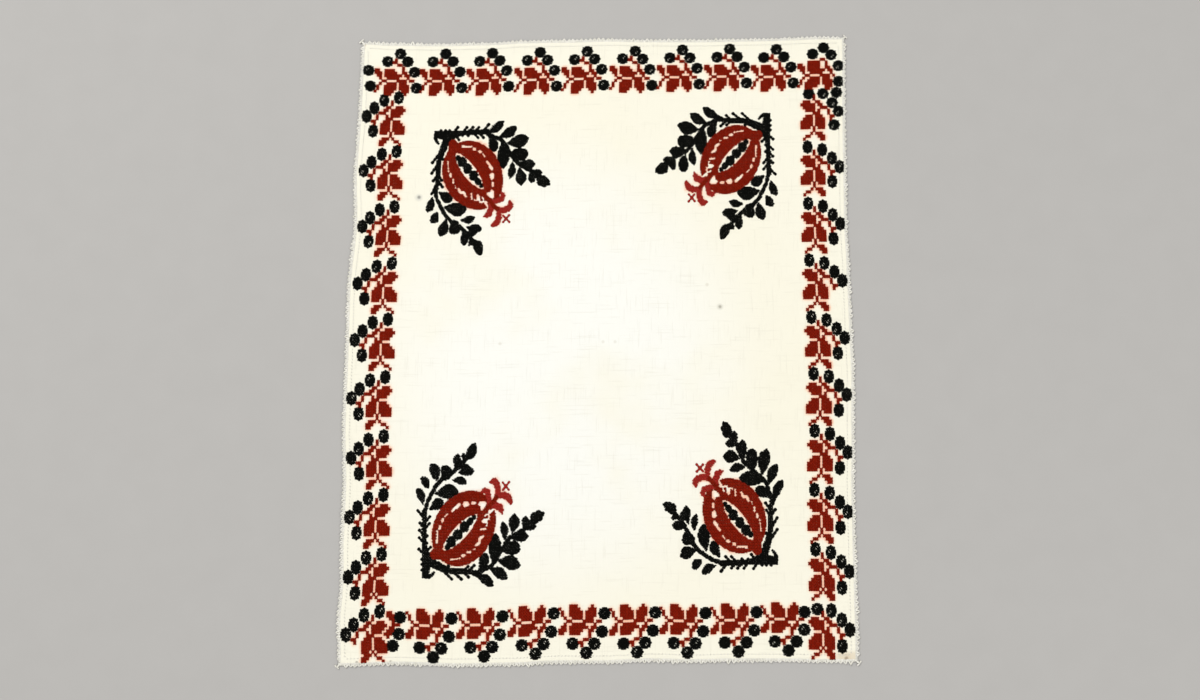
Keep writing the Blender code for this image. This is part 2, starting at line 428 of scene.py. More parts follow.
def threads_at(places, long_level, reaches):
    """Which thread covers each place. The long spray is the level one, or else the upright one."""
    thread = np.full(places.shape[:-1], BARE_LINEN)
    swapped = places[..., ::-1]
    long_places, short_places = (places, swapped) if long_level else (swapped, places)
    thread[in_spray(long_places, LONG_SPRAY, reaches[0]) | in_spray(short_places, SHORT_SPRAY, reaches[1])] = BLACK
    oval, bare = in_fruit(places)
    thread[oval | in_stroke(places, TAIL)] = RED
    for path in ARMS:
        thread[in_stroke(places, path)] = BLACK
    thread[bare] = BARE_LINEN
    for petal in PETALS:
        thread[in_stroke(places, petal, 0.05)] = FADED
    thread[in_stroke(places, NECK)] = RED
    for middle, size in SEEDS:
        thread[np.linalg.norm(places - np.array(middle), axis=-1) < size] = BLACK
    return thread


print("threads at a seed, in the rind and outside:", threads_at(np.array([(0.5, 0), (6, -6), (0, 25.0)]), True, (1, 1)))

# %% [markdown]
# Both legs of every square are followed from end to end, at eight places along and three across. Where thread
# covers a long enough stretch of a leg, that stretch is worked, so a leg is whole inside a shape and shortened at
# its outline.

# %% Follow both legs of every square
STEPS_ALONG = 8
SIDEWAYS = (-0.18, 0.0, 0.18)
SHORTEST_STEPS = 2
PAST_OUTLINE = 0.06  # share of a leg that it goes on past the outline
SLANTS = np.array(((1.0, 1.0), (1.0, -1.0)))


def covered_stretches(threads):
    """The stretches of one thread along a leg: the thread, and from and to which share of the leg."""
    start = 0
    for step in range(1, len(threads) + 1):
        if step == len(threads) or threads[step] != threads[start]:
            if threads[start] != BARE_LINEN and step - start >= SHORTEST_STEPS:
                yield int(threads[start]), start / len(threads), step / len(threads)
            start = step


def fitted_legs(ask, counts_x, counts_y):
    """Legs that fit a charted shape, each as its thread, both ends in squares, and the number of its slant."""
    middles = np.stack(np.meshgrid(counts_x, counts_y, indexing="ij"), -1).reshape(-1, 1, 1, 1, 2)
    slants = SLANTS.reshape(1, 2, 1, 1, 2)
    along = ((np.arange(STEPS_ALONG) + 0.5) / STEPS_ALONG - 0.5).reshape(1, 1, -1, 1, 1)
    sideways = np.array(SIDEWAYS).reshape(1, 1, 1, -1, 1) * slants[..., ::-1] * (1.0, -1.0) / math.sqrt(2)
    agreed = np.median(ask(middles + slants * along + sideways), axis=-1)  # what at least two of three say
    for middle, pair in zip(middles.reshape(-1, 2), agreed):
        for number, threads in enumerate(pair):
            for thread, first, last in covered_stretches(threads):
                first, last = max(first - PAST_OUTLINE, 0.0), min(last + PAST_OUTLINE, 1.0)
                yield thread, middle + SLANTS[number] * (first - 0.5), middle + SLANTS[number] * (last - 0.5), number


def pomegranate_legs(long_level, reaches):
    counts = np.arange(-20.0, 33.0)
    return fitted_legs(lambda places: threads_at(places, long_level, reaches), counts, counts)


print("legs in a pomegranate corner:", sum(1 for _leg in pomegranate_legs(True, (1.0, 1.0))))

# %% Where the four pomegranates stand, each turned a quarter from the last
POMEGRANATE_SQUARE_MM = (2.03, 2.40)

# Columns: middle along s and t in millimetres, which way the chart's two axes run, whether they change places,
# whether the long spray is the level one, and how far the long and the short spray reach.
POMEGRANATES = (
    (92.1, 381.1, 1, -1, False, True, (0.985, 0.98)),
    (297.5, 390.8, -1, -1, True, False, (0.95, 0.975)),
    (297.6, 107.1, -1, 1, False, False, (0.975, 0.95)),
    (91.3, 101.0, 1, 1, True, False, (0.97, 0.965)),
)
print("pomegranates:", len(POMEGRANATES))

# %% [markdown]
# ## From squares to legs
#
# A cross is two slanting legs, the second over the first, and all the upper legs slant the same way. A leg is
# what gets modelled, because whole crosses, shortened ones and single ticks are all made of legs. Each leg is kept
# as its two ends on the cloth, whether it lies on top, how wide it is, and how faded its thread is.

# %% Work the stitches
LEG_WIDTH_MM = 1.42
legs = {"vine_red_ends": [], "vine_red_sides": [], "vine_grapes": [], "pomegranate_red": [], "pomegranate_black": []}
red_middles = []  # middles of the red crosses, for the tint that they give the linen


def add_leg(piece, start, end, over=False, width=1.0, faded=0.0):
    legs[piece].append((*start, *end, float(over), width, faded))


def add_cross(piece, place, square):
    """A whole cross over one square."""
    s, t = place
    half_s, half_t = square[0] * 0.525, square[1] * 0.525
    add_leg(piece, (s - half_s, t - half_t), (s + half_s, t + half_t), False)
    add_leg(piece, (s - half_s, t + half_t), (s + half_s, t - half_t), True)


print("leg width:", LEG_WIDTH_MM, "mm on squares of", POMEGRANATE_SQUARE_MM, "mm")

# %% Work the vine
rng = random.Random(11)
OPEN_GRAPES = 0.55
# Band, motif and grape of the two that were never worked, and of two that stand aside and are charted alone.
MISSING_GRAPES = (("left", 10, 0), ("right", 4, 0), ("bottom", 8, 4), ("right", 10, 4))


def grape_thread(places):
    """Black inside a grape's circle, with its middle at (0, 0) of the places."""
    return np.where(np.linalg.norm(places / GRAPE_HALF_SIZE, axis=-1) < 1, BLACK, BARE_LINEN)


GRAPE_COUNTS = np.arange(-2.5, 3.0)
GRAPE_LEGS = list(fitted_legs(grape_thread, GRAPE_COUNTS, GRAPE_COUNTS))


def work_grape(middle, square, turn=lambda x, y: (x, y), origin=(0.0, 0.0)):
    """A round grape. Where one of its middle squares is left open, a single leg still crosses it."""
    open_square = (rng.choice((-0.5, 0.5)), rng.choice((-0.5, 0.5))) if rng.random() < OPEN_GRAPES else None
    for _thread, first, last, _number in GRAPE_LEGS:
        at_open = open_square and math.dist((first + last) / 2, open_square) < 0.1
        ends = []
        for x, y in (first, last):
            column, row = turn(middle[0] + x, middle[1] + y)
            ends.append((origin[0] + column * square[0], origin[1] + row * square[1]))
        falls = (ends[1][0] - ends[0][0]) * (ends[1][1] - ends[0][1]) < 0
        if not at_open:
            add_leg("vine_grapes", *ends, falls)
        elif falls:
            add_leg("vine_grapes", *ends, True, 1.0)


def work_rows(piece, chart, square, turn, origin):
    for x, y in chart:
        column, row = turn(x, y)
        place = (origin[0] + column * square[0], origin[1] + row * square[1])
        add_cross(piece, place, square)
        red_middles.append(place)


for band, places in MOTIFS.items():
    square, turn = SQUARE_MM[band], TURNED[band]
    piece = "vine_red_ends" if band in ("top", "bottom") else "vine_red_sides"
    for number, origin in enumerate(places, 1):
        corner_motif = band == "top" and number == 10
        near_bottom = band in ("left", "right") and number >= 9
        chart = squares(TALL_MOTIF if corner_motif else VINE_STEMS + VINE_LOBES)
        chart += squares(VINE_LEAF + VINE_TENDRIL, 1 if near_bottom else 0)
        chart += [] if near_bottom or corner_motif else squares(VINE_JOIN)
        work_rows(piece, chart, square, turn, origin)
        if corner_motif or (band == "right" and number == 1):
            continue
        for index, middle in enumerate(VINE_GRAPES):
            if (band, number, index) not in MISSING_GRAPES:
                work_grape(middle, square, turn, origin)

work_rows("vine_red_ends", squares(LOWER_LEFT_LEAVES), SQUARE_MM["bottom"], TURNED["top"], MOTIFS["bottom"][0])
for middle in LOWER_LEFT_GRAPES:
    work_grape(middle, SQUARE_MM["bottom"], TURNED["top"], MOTIFS["bottom"][0])
for place in LONE_GRAPES_MM:
    work_grape((0, 0), SQUARE_MM["top"], TURNED["top"], place)
print("legs in the vine:", {piece: len(found) for piece, found in legs.items() if piece.startswith("vine")})


# %% Work the pomegranates
TICK_WIDTH = 1.75
BUD_WIDTH = 1.3


def to_corner(point, corner):
    """Where a place of the pomegranate's chart falls on the cloth, in millimetres."""
    s, t, way_s, way_t, swapped = corner[:5]
    x, y = (point[1], point[0]) if swapped else point
    return float(s + way_s * x * POMEGRANATE_SQUARE_MM[0]), float(t + way_t * y * POMEGRANATE_SQUARE_MM[1])


def add_chain(piece, start, end, corner, width, faded=0.0):
    """A straight line of the chart as a few legs, end to end."""
    count = max(1, round(math.dist(start, end) / 1.3))
    ends = np.linspace(start, end, count + 1)
    for first, last in zip(ends, ends[1:]):
        add_leg(piece, to_corner(first, corner), to_corner(last, corner), True, width, faded)


def work_pomegranate(corner):
    way_s, way_t, _swapped, long_level, reaches = corner[2:]
    for thread, first, last, number in pomegranate_legs(long_level, reaches):
        piece = "pomegranate_black" if thread == BLACK else "pomegranate_red"
        over = (number == 0) == (way_s * way_t < 0)
        start, end = to_corner(first, corner), to_corner(last, corner)
        add_leg(piece, start, end, over, 1.0, 1.0 if thread == FADED else 0.0)
        if thread != BLACK and over and math.dist(first, last) > 1.0:
            red_middles.append(((start[0] + end[0]) / 2, (start[1] + end[1]) / 2))
    for start, end in TICKS:
        add_chain("pomegranate_black", start, end, corner, TICK_WIDTH)
    for start, end in BUD:
        add_chain("pomegranate_red", start, end, corner, BUD_WIDTH, 1.0)


for corner in POMEGRANATES:
    work_pomegranate(corner)
print("legs in the pomegranates:", {piece: len(found) for piece, found in legs.items() if piece.startswith("pom")})

# %% [markdown]
# ## A bench for node trees
#
# Materials and Geometry Nodes are both trees of nodes. One class adds any node from its type, settings and
# sockets, and a small class wraps a socket so that ordinary sums add the Math nodes they need.


# %% Sums on sockets
class Quantity:
    """An output socket on which +, -, *, / and a few named functions work."""

    def __init__(self, bench, socket):
        self.bench = bench
        self.socket = socket

    def maths(self, operation, *values):
        return self.bench.add("ShaderNodeMath", {"operation": operation}, dict(enumerate(values)))

    def __add__(self, other):
        return self.maths("ADD", self, other)

    def __sub__(self, other):
        return self.maths("SUBTRACT", self, other)

    def __mul__(self, other):
        return self.maths("MULTIPLY", self, other)

    def __truediv__(self, other):
        return self.maths("DIVIDE", self, other)

    def __rsub__(self, other):
        return self.maths("SUBTRACT", other, self)

    def __rtruediv__(self, other):
        return self.maths("DIVIDE", other, self)

    __radd__ = __add__
    __rmul__ = __mul__

    def sine(self):
        return self.maths("SINE", self)

    def size(self):
        return self.maths("ABSOLUTE", self)

    def at_least(self, other):
        return self.maths("MAXIMUM", self, other)

    def between(self, low, high):
        """From 0 where this is low to 1 where it is high, eased at both ends."""
        ease = {"interpolation_type": "SMOOTHSTEP"}
        return self.bench.add("ShaderNodeMapRange", ease, {"Value": self, "From Min": low, "From Max": high})


class Bench:
    """Adds nodes to one tree."""

    def __init__(self, tree):
        self.tree = tree

    def plug(self, socket, value):
        if isinstance(value, Quantity):
            self.tree.links.new(value.socket, socket)
        elif value is not None:
            socket.default_value = value

    def add(self, kind, settings=None, sockets=None, out=0):
        """One node: its settings first, a ramp's stops among them, then its sockets. Gives back one output."""
        node = self.tree.nodes.new(kind)
        for name, value in (settings or {}).items():
            if name == "stops":
                self.set_stops(node.color_ramp, value)
            else:
                setattr(node, name, value)
        for key, value in (sockets or {}).items():
            self.plug(node.inputs[key], value)
        return Quantity(self, node.outputs[out]) if len(node.outputs) else node

    @staticmethod
    def set_stops(ramp, stops):
        while len(ramp.elements) < len(stops):
            ramp.elements.new(1.0)
        for element, (place, color) in zip(ramp.elements, stops):
            element.position = place
            element.color = (*color, 1.0)

    def mix(self, share, first, second, how="MIX"):
        """A colour between two colours."""
        values = {0: share, 6: self.color(first), 7: self.color(second)}
        return self.add("ShaderNodeMix", {"data_type": "RGBA", "blend_type": how}, values, 2)

    @staticmethod
    def color(value):
        return (*value, 1.0) if isinstance(value, tuple) and len(value) == 3 else value


print("node bench ready")

# %% [markdown]
# ## Repeating a shape
#
# Thousands of legs, picots and hem stitches are copies of a few small shapes. One Geometry Nodes tree sets a shape
# on each point of an object. Each point carries its turn and its size. The tree adds a little unevenness, from a
# fixed seed, gives each copy a tone between 0 and 1 for its colour, then makes the copies real.

# %% The tree that sets shapes on points
INPUTS = (
    ("Points", "NodeSocketGeometry", None),
    ("Shape below", "NodeSocketObject", None),
    ("Shape above", "NodeSocketObject", None),
    ("Turn unevenness", "NodeSocketFloat", 0.05),
    ("Size unevenness", "NodeSocketFloat", 0.08),
    ("Seed", "NodeSocketInt", 1),
    ("Finish", "NodeSocketMaterial", None),
)
copies_tree = bpy.data.node_groups.new("copies_on_points", "GeometryNodeTree")
SOCKET_IDS = {}
for label, kind, value in INPUTS:
    socket = copies_tree.interface.new_socket(label, in_out="INPUT", socket_type=kind)
    SOCKET_IDS[label] = socket.identifier
    if value is not None:
        socket.default_value = value
copies_tree.interface.new_socket("Pieces", in_out="OUTPUT", socket_type="NodeSocketGeometry")

bench = Bench(copies_tree)
given_node = copies_tree.nodes.new("NodeGroupInput")
given = {label: Quantity(bench, given_node.outputs[label]) for label, _kind, _value in INPUTS}


def point_value(name, kind="FLOAT"):
    return bench.add("GeometryNodeInputNamedAttribute", {"data_type": kind}, {"Name": name})


def uneven(limit, offset):
    """A random number from -limit to limit, its own for each point."""
    sockets = {2: limit * -1.0, 3: limit, 8: given["Seed"] + offset}
    return bench.add("FunctionNodeRandomValue", {"data_type": "FLOAT"}, sockets, 1)


turn = point_value("turn") + uneven(given["Turn unevenness"], 0)
angles = bench.add("ShaderNodeCombineXYZ", {}, {"Z": turn})
rotation = bench.add("FunctionNodeEulerToRotation", {}, {0: angles})
swell = 1.0 + uneven(given["Size unevenness"], 1)
widths = bench.add("ShaderNodeCombineXYZ", {}, {"X": 1.0, "Y": swell, "Z": swell})
scale = bench.add("ShaderNodeVectorMath", {"operation": "MULTIPLY"}, {0: point_value("size", "FLOAT_VECTOR"), 1: widths})
above = point_value("above", "BOOLEAN")
below = bench.add("FunctionNodeBooleanMath", {"operation": "NOT"}, {0: above})


def copies_of(label, chosen):
    shape = bench.add("GeometryNodeObjectInfo", {}, {"Object": given[label]}, "Geometry")
    sockets = {"Points": given["Points"], "Selection": chosen, "Instance": shape, "Rotation": rotation, "Scale": scale}
    return bench.add("GeometryNodeInstanceOnPoints", {}, sockets)


joined = bench.add("GeometryNodeJoinGeometry", {}, {0: copies_of("Shape below", below)})
bench.plug(joined.socket.node.inputs[0], copies_of("Shape above", above))
tone = bench.add("FunctionNodeRandomValue", {"data_type": "FLOAT"}, {2: 0.0, 3: 1.0, 8: given["Seed"] + 2}, 1)
store = {"data_type": "FLOAT", "domain": "INSTANCE"}
toned = bench.add("GeometryNodeStoreNamedAttribute", store, {"Geometry": joined, "Name": "tone", "Value": tone})
real = bench.add("GeometryNodeRealizeInstances", {}, {"Geometry": toned})
finished = bench.add("GeometryNodeSetMaterial", {}, {"Geometry": real, "Material": given["Finish"]})
bench.plug(copies_tree.nodes.new("NodeGroupOutput").inputs[0], finished)
print("nodes in the tree:", len(copies_tree.nodes))


# %% Points that carry a turn and a size
def cloud(name, places, turns, sizes, above, faded):
    """An object of loose points. Sizes are length, width and height."""
    mesh = bpy.data.meshes.new(name)
    mesh.vertices.add(len(places))
    mesh.vertices.foreach_set("co", np.asarray(places, np.float32).ravel())
    columns = (
        ("turn", "FLOAT", "value", turns),
        ("size", "FLOAT_VECTOR", "vector", sizes),
        ("above", "BOOLEAN", "value", above),
        ("faded", "FLOAT", "value", faded),
    )
    for label, kind, field, values in columns:
        layer = mesh.attributes.new(label, kind, "POINT")
        wanted = bool if kind == "BOOLEAN" else np.float32
        layer.data.foreach_set(field, np.asarray(values, wanted).ravel())
    made = bpy.data.objects.new(name, mesh)
    bpy.context.scene.collection.objects.link(made)
    return made


def forget(made):
    """Removes an object that was only a help."""
    mesh = made.data
    bpy.data.objects.remove(made, do_unlink=True)
    bpy.data.meshes.remove(mesh)


def copies(name, points, **inputs):
    """The plain mesh piece that the tree makes from an object of points."""
    modifier = points.modifiers.new("copies", "NODES")
    modifier.node_group = copies_tree
    for label, value in inputs.items():
        modifier[SOCKET_IDS[label.replace("_", " ")]] = value
    graph = bpy.context.evaluated_depsgraph_get()
    mesh = bpy.data.meshes.new_from_object(points.evaluated_get(graph), depsgraph=graph)
    mesh.name = name
    for label in ("turn", "size", "above"):
        if label in mesh.attributes:
            mesh.attributes.remove(mesh.attributes[label])
    made = bpy.data.objects.new(name, mesh)
    bpy.context.scene.collection.objects.link(made)
    forget(points)
    return made


# %% [markdown]
# ## Thread shapes
#
# Every shape to be copied is a bundle of thread: a path with a half width and a half height at each place, closed
# at both ends. Shapes are drawn in a unit box, because each copy is scaled to the length, width and height of its
# point. A leg dives into the cloth at both ends and swells between them. The upper leg rises more in its middle.


# %% Draw a bundle of thread along a path
def thread_shape(name, path, around=4):
    """A closed strand. Each row of the path is x, y, z, half width, half height."""
    builder = bmesh.new()
    layer = builder.loops.layers.uv.new("UVMap")
    rings = []
    for index, (x, y, z, half_width, half_height) in enumerate(path):
        before, after = path[max(index - 1, 0)], path[min(index + 1, len(path) - 1)]
        along = Vector((after[0] - before[0], after[1] - before[1])).normalized()
        across = Vector((-along.y, along.x))
        ring = []
        for step in range(around):
            angle = 2 * math.pi * step / around
            side = across * half_width * math.cos(angle)
            ring.append(builder.verts.new((x + side.x, y + side.y, z + half_height * math.sin(angle))))
        rings.append(ring)
    for index in range(len(rings) - 1):
        for step in range(around):
            following = (step + 1) % around
            lower, upper = rings[index], rings[index + 1]
            face = builder.faces.new((lower[step], upper[step], upper[following], lower[following]))
            corners = ((index, step), (index + 1, step), (index + 1, step + 1), (index, step + 1))
            for loop, (far, turn) in zip(face.loops, corners):
                loop[layer].uv = (far / (len(rings) - 1), turn / around)
    builder.faces.new(rings[0])
    builder.faces.new(rings[-1][::-1])
    for face in builder.faces:
        face.smooth = True
    bmesh.ops.recalc_face_normals(builder, faces=builder.faces)
    mesh = bpy.data.meshes.new(name)
    builder.to_mesh(mesh)
    builder.free()
    made = bpy.data.objects.new(name, mesh)
    bpy.context.scene.collection.objects.link(made)
    return made


under_leg = thread_shape(
    "under_leg",
    ((-0.54, 0, -0.4, 0.38, 0.34), (-0.26, 0, 0.25, 0.50, 0.50), (0.26, 0, 0.25, 0.50, 0.50), (0.54, 0, -0.4, 0.38, 0.34)),
)
over_leg = thread_shape(
    "over_leg",
    ((-0.54, 0, -0.4, 0.38, 0.34), (-0.25, 0, 0.45, 0.48, 0.50), (0.25, 0, 0.45, 0.48, 0.50), (0.54, 0, -0.4, 0.38, 0.34)),
)
print("faces in a leg:", len(under_leg.data.polygons))

# %% [markdown]
# ## The cloth's linen
#
# The linen is plain weave, off-white, with thicker threads here and there, faint yellow patches and a few small
# stains. Dye and lint of the dense red stitching also colour the cloth faintly close around it. The piece carries
# a number for that at each point, and the finish turns it into colour.

# %% Spread the tint of the red stitches over the cloth
TINT_STEP_MM = 1.0
TINT_SPREAD_MM = 0.95


def tint_field(places):
    """How much thread covers the cloth around each millimetre of it, softened."""
    columns, rows = int(CLOTH_WIDTH_MM / TINT_STEP_MM) + 2, int(CLOTH_HEIGHT_MM / TINT_STEP_MM) + 2
    fine = np.asarray(places)[:, None, :] + np.array([(a, b) for a in (-0.5, 0.5) for b in (-0.6, 0.6)])[None]
    s, t = fine.reshape(-1, 2).T / TINT_STEP_MM
    edges = (np.arange(columns + 1) - 0.5, np.arange(rows + 1) - 0.5)
    share = POMEGRANATE_SQUARE_MM[0] * POMEGRANATE_SQUARE_MM[1] / 4 / TINT_STEP_MM**2
    field = np.histogram2d(s, t, edges)[0] * share
    reach = np.arange(-4, 5) * TINT_STEP_MM
    kernel = np.exp(-(reach**2) / (2 * TINT_SPREAD_MM**2))
    kernel /= kernel.sum()
    for axis in (0, 1):
        field = np.apply_along_axis(lambda line: np.convolve(line, kernel, "same"), axis, field)
    return field


def read_field(field, s, t):
    """The value of a field between its points."""
    x = np.clip(s / TINT_STEP_MM, 0, field.shape[0] - 1.001)
    y = np.clip(t / TINT_STEP_MM, 0, field.shape[1] - 1.001)
    i, j = x.astype(int), y.astype(int)
    dx, dy = x - i, y - j
    lower = field[i, j] * (1 - dx) + field[i + 1, j] * dx
    upper = field[i, j + 1] * (1 - dx) + field[i + 1, j + 1] * dx
    return lower * (1 - dy) + upper * dy


red_field = tint_field(red_middles)
print("densest tint:", round(float(red_field.max()), 2))

# %% Build the sheet
GRID_MM = 1.8
RIM_LINES_MM = (0.0, 0.35, 0.8, 2.0, 3.2, 4.4)
BLOCK = 6  # grid steps in one face of the plain underside


def lines_across(length):
    """Where grid lines cross one direction of the cloth: close together at the hem, even between."""
    rim_steps = 2 * (len(RIM_LINES_MM) - 1)
    blocks = round(((length - 2 * RIM_LINES_MM[-1]) / GRID_MM + rim_steps) / BLOCK)
    middle = np.linspace(RIM_LINES_MM[-1], length - RIM_LINES_MM[-1], blocks * BLOCK - rim_steps + 1)
    rim = np.array(RIM_LINES_MM[:-1])
    return np.concatenate((rim, middle, length - rim[::-1]))


s_lines, t_lines = lines_across(CLOTH_WIDTH_MM), lines_across(CLOTH_HEIGHT_MM)
s_grid, t_grid = np.meshgrid(s_lines, t_lines, indexing="ij")
flat_places = on_cloth(s_grid, t_grid)
upper_z = top_height(s_grid, t_grid)
lower_z = np.interp(from_edge(s_grid, t_grid), (0.0, 0.35, 0.8), (0.35, 0.04, 0.0)) * MM
print("grid:", len(s_lines), "by", len(t_lines), "lines")


# %% Join the upper face, the rim and the underside
def grid_corners(stops_s, stops_t):
    """The squares between neighbouring stops, going round each with every grid point on the cloth's own rim."""
    last_s, last_t = len(s_lines) - 1, len(t_lines) - 1
    for i0, i1 in zip(stops_s, stops_s[1:]):
        for j0, j1 in zip(stops_t, stops_t[1:]):
            lower = [(i, j0) for i in range(i0, i1)] if j0 == 0 else [(i0, j0)]
            right = [(i1, j) for j in range(j0, j1)] if i1 == last_s else [(i1, j0)]
            upper = [(i, j1) for i in range(i1, i0, -1)] if j1 == last_t else [(i1, j1)]
            left = [(i0, j) for j in range(j1, j0, -1)] if i0 == 0 else [(i0, j1)]
            yield lower + right + upper + left


def rim_walk():
    """The grid points round the rim, against the clock."""
    last_s, last_t = len(s_lines) - 1, len(t_lines) - 1
    walk = [(i, 0) for i in range(last_s)] + [(last_s, j) for j in range(last_t)]
    return walk + [(i, last_t) for i in range(last_s, 0, -1)] + [(0, j) for j in range(last_t, 0, -1)]


def block_stops(lines):
    return list(range(0, len(lines) - 1, BLOCK)) + [len(lines) - 1]


builder = bmesh.new()
layer = builder.loops.layers.uv.new("UVMap")
upper = {}
for (i, j), z in np.ndenumerate(upper_z):
    upper[(i, j)] = builder.verts.new((*flat_places[i, j], z))
for corners in grid_corners(range(len(s_lines)), range(len(t_lines))):
    face = builder.faces.new([upper[corner] for corner in corners])
    for loop, (i, j) in zip(face.loops, corners):
        loop[layer].uv = (s_lines[i] * MM, t_lines[j] * MM)
lower = {}


def lower_vertex(corner):
    if corner not in lower:
        lower[corner] = builder.verts.new((*flat_places[corner], lower_z[corner]))
    return lower[corner]


for corners in grid_corners(block_stops(s_lines), block_stops(t_lines)):
    face = builder.faces.new([lower_vertex(corner) for corner in reversed(corners)])
    for loop, (i, j) in zip(face.loops, reversed(corners)):
        loop[layer].uv = (s_lines[i] * MM, t_lines[j] * MM)
walk = rim_walk()
for here, following in zip(walk, walk[1:] + walk[:1]):
    face = builder.faces.new((lower[here], lower[following], upper[following], upper[here]))
    for loop, (i, j) in zip(face.loops, (here, following, following, here)):
        loop[layer].uv = (s_lines[i] * MM, t_lines[j] * MM)
for face in builder.faces:
    face.smooth = True
linen_mesh = bpy.data.meshes.new("linen_cloth")
builder.to_mesh(linen_mesh)
builder.free()
linen_cloth = bpy.data.objects.new("linen_cloth", linen_mesh)
bpy.context.scene.collection.objects.link(linen_cloth)
print("faces in the linen:", len(linen_mesh.polygons))

# %% Give each point of the sheet its tint
upper_count = s_grid.size
tint_values = np.zeros(len(linen_mesh.vertices), np.float32)
tint_values[:upper_count] = read_field(red_field, s_grid, t_grid).ravel()
linen_mesh.attributes.new("red_tint", "FLOAT", "POINT").data.foreach_set("value", tint_values)
print("points on the upper face:", upper_count)


# %% [markdown]
# ## Finishes
#
# All threads are matt or softly glossy fibres. Their finish has a base colour that changes from stitch to stitch,
# fine twisted plies in the bump, painted shade in the grooves between the plies, and a low specular level.


# %% Start a finish
def new_finish(name):
    material = bpy.data.materials.new(name)
    material.use_nodes = True
    return material, Bench(material.node_tree), material.node_tree.nodes["Principled BSDF"]


def carried(bench, name):
    """A number that the piece carries at each of its points."""
    return bench.add("ShaderNodeAttribute", {"attribute_name": name}, {}, "Fac")


def bump(bench, shader, height, distance):
    made = bench.add("ShaderNodeBump", {}, {"Height": height, "Distance": distance, "Strength": 1.0})
    bench.plug(shader.inputs["Normal"], made)


def thread_finish(name, dark, light, faded_color=None, shade=0.22, specular=0.08):
    """Twisted thread: each copy between a dark and a light tone, with its plies in the bump and painted shade in the
    grooves between them.
    """
    material, bench, shader = new_finish(name)
    place = bench.add("ShaderNodeUVMap", {"uv_map": "UVMap"})
    along = bench.add("ShaderNodeSeparateXYZ", {}, {0: place})
    round_it = Quantity(bench, along.socket.node.outputs[1])
    twist = (round_it * (2 * math.pi * 3.0) + along * 9.0).sine()
    color = bench.mix(carried(bench, "tone"), dark, light)
    if faded_color:
        color = bench.mix(carried(bench, "faded"), color, faded_color)
    # Painted shade: the colour darkens towards half the dark tone in the grooves between the plies, by up to twice the
    # shade share.
    color = bench.mix(shade - twist * shade, color, tuple(0.5 * part for part in dark))
    bench.plug(shader.inputs["Base Color"], color)
    shader.inputs["Roughness"].default_value = 0.6
    shader.inputs["Specular IOR Level"].default_value = specular
    bump(bench, shader, twist, 0.0001)
    return material


red_thread = thread_finish("red_thread", (0.210, 0.0085, 0.0012), (0.295, 0.0140, 0.0026), (0.42, 0.028, 0.020), specular=0.05)
black_thread = thread_finish("black_thread", (0.0022, 0.0026, 0.0018), (0.0045, 0.0050, 0.0036), specular=0.05)
edging_thread = thread_finish("edging_thread", (0.87, 0.85, 0.76), (0.94, 0.92, 0.85), shade=0.05)
print("thread finishes:", red_thread.name, black_thread.name, edging_thread.name)

# %% [markdown]
# The linen's threads follow its own UV map, in metres, so that the weave bends with the cloth. Stains are worked
# out from Object coordinates, each as a soft spot at its place.

# %% Linen finish
WEAVE_PITCH = (0.00068, 0.00080)
MIDDLE_COLOR, OUTER_COLOR, PATCH_COLOR = (0.885, 0.885, 0.835), (0.872, 0.845, 0.715), (0.865, 0.835, 0.690)

# Columns: x, y, radius, strength, colour.
STAINS = (
    (-0.1439, 0.1143, 0.0036, 0.40, (0.45, 0.45, 0.42)),
    (-0.1437, 0.1146, 0.0017, 0.75, (0.22, 0.22, 0.20)),
    (0.0944, 0.0260, 0.0030, 0.40, (0.45, 0.43, 0.36)),
    (0.0944, 0.0260, 0.0014, 0.65, (0.28, 0.27, 0.22)),
    (0.0845, 0.0437, 0.0018, 0.30, (0.50, 0.45, 0.34)),
    (-0.0779, -0.0034, 0.0017, 0.25, (0.50, 0.45, 0.34)),
    (0.0026, -0.0019, 0.0016, 0.25, (0.50, 0.45, 0.34)),
    (0.0120, -0.0019, 0.0016, 0.25, (0.50, 0.45, 0.34)),
    (-0.1915, 0.2425, 0.0026, 0.65, (0.35, 0.24, 0.13)),
    (-0.1915, 0.2393, 0.0020, 0.55, (0.35, 0.24, 0.13)),
    (0.1830, -0.2425, 0.0064, 0.45, (0.55, 0.40, 0.24)),
    (0.1900, -0.2420, 0.0054, 0.40, (0.55, 0.40, 0.24)),
    (0.1853, -0.2430, 0.0018, 0.60, (0.22, 0.15, 0.10)),
    (-0.1824, -0.2460, 0.0014, 0.60, (0.20, 0.17, 0.14)),
    (-0.1569, -0.2455, 0.0014, 0.55, (0.20, 0.17, 0.14)),
)


def weave(bench, s, t):
    """Height of plain weave: across each crossing one thread lies over the other, turn about."""
    upright = (s * (math.pi / WEAVE_PITCH[0])).sine()
    level = (t * (math.pi / WEAVE_PITCH[1])).sine()
    turn_about = upright * level * 0.5
    return upright.size() * (0.5 + turn_about) + level.size() * (0.5 - turn_about)


def slubs(bench, s, t, fine, coarse):
    """Long thin streaks where a hand-spun thread is thicker."""
    place = bench.add("ShaderNodeCombineXYZ", {}, {"X": s * fine, "Y": t * coarse})
    return bench.add("ShaderNodeTexNoise", {}, {"Vector": place, "Scale": 1.0, "Detail": 1.0, "Roughness": 0.5})


def stain_mask(bench, place, stain):
    x, y, radius, strength, _color = stain
    away = bench.add("ShaderNodeVectorMath", {"operation": "DISTANCE"}, {0: place, 1: (x, y, 0.0014)}, "Value")
    return (1.0 - away.between(radius * 0.35, radius * 1.15)) * strength


